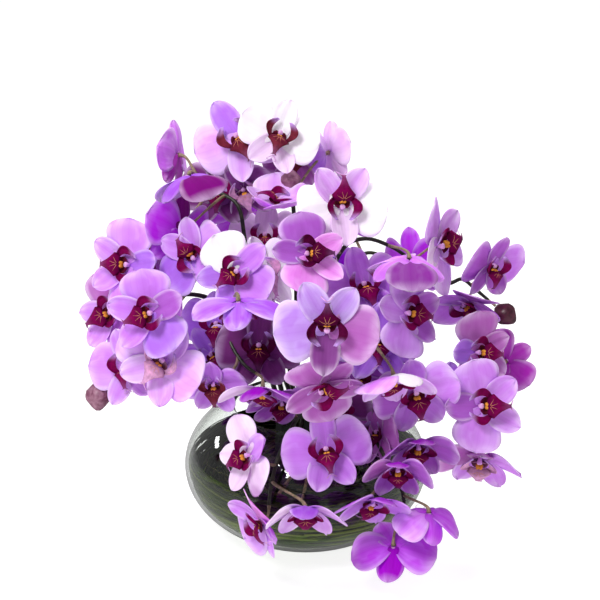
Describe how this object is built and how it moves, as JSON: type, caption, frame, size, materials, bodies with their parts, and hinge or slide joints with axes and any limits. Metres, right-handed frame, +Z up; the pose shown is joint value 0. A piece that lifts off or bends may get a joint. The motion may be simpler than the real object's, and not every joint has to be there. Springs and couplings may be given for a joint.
{
  "type": "orchid arrangement in vase",
  "caption": "Moth-orchid arrangement: arching flower spikes with open blooms and buds, set in a foam block inside a low round glass bubble bowl lined with coiled grass.",
  "frame": {"origin": "centre of the bowl's flat base, on the surface that it stands on", "axes": "+Z up through the bowl's mouth; -Y is the display's front, from which the blooms are seen; +X to the right seen from the front"},
  "size_m": [0.4645, 0.3706, 0.4539],
  "materials": {
    "glass": "gloss",
    "grass": "satin",
    "foam": "matte",
    "stem": "satin",
    "petal": "satin",
    "lip": "satin",
    "bud": "satin",
    "bark": "matte"
  },
  "bodies": {
    "root": {"bloom_centre_left_1": "petal", "bloom_centre_left_2": "petal", "bloom_centre_left_3": "petal", "bloom_centre_right_1": "petal", "bloom_centre_right_2": "petal", "bloom_centre_right_3": "petal", "bloom_centre_right_4": "petal", "bloom_front_left_1": "petal", "bloom_front_left_2": "petal", "bloom_front_left_3": "petal", "bloom_front_left_4": "petal", "bloom_front_right_1": "petal", "bloom_front_right_2": "petal", "bloom_front_right_3": "petal", "bloom_front_right_4": "petal", "bloom_front_right_5": "petal", "bloom_left_high_1": "petal", "bloom_left_high_2": "petal", "bloom_left_high_3": "petal", "bloom_left_high_4": "petal", "bloom_left_low_1": "petal", "bloom_left_low_2": "petal", "bloom_left_low_3": "petal", "bloom_left_low_4": "petal", "bloom_left_low_5": "petal", "bloom_right_high_1": "petal", "bloom_right_high_2": "petal", "bloom_right_low_1": "petal", "bloom_right_low_2": "petal", "bloom_right_low_3": "petal", "bloom_right_low_4": "petal", "bloom_right_low_5": "petal", "bloom_top_left_1": "petal", "bloom_top_left_2": "petal", "bloom_top_left_3": "petal", "bloom_top_right_1": "petal", "bloom_top_right_2": "petal", "bloom_top_right_3": "petal", "bloom_top_right_4": "petal", "bloom_top_right_5": "petal", "bud_left_low": "bud", "bud_right_high": "bud", "bud_top_left": "bud", "foam_block": "foam", "grass_lining": "grass", "spike_back_left": "stem", "spike_back_right": "stem", "spike_centre_left": "stem", "spike_centre_right": "stem", "spike_front_left": "stem", "spike_front_right": "stem", "spike_left_high": "stem", "spike_left_low": "stem", "spike_right_high": "stem", "spike_right_low": "stem", "spike_top_left": "stem", "spike_top_right": "stem", "twig_1": "bark", "twig_2": "bark", "vase_bowl": "glass"}
  },
  "joints": []
}
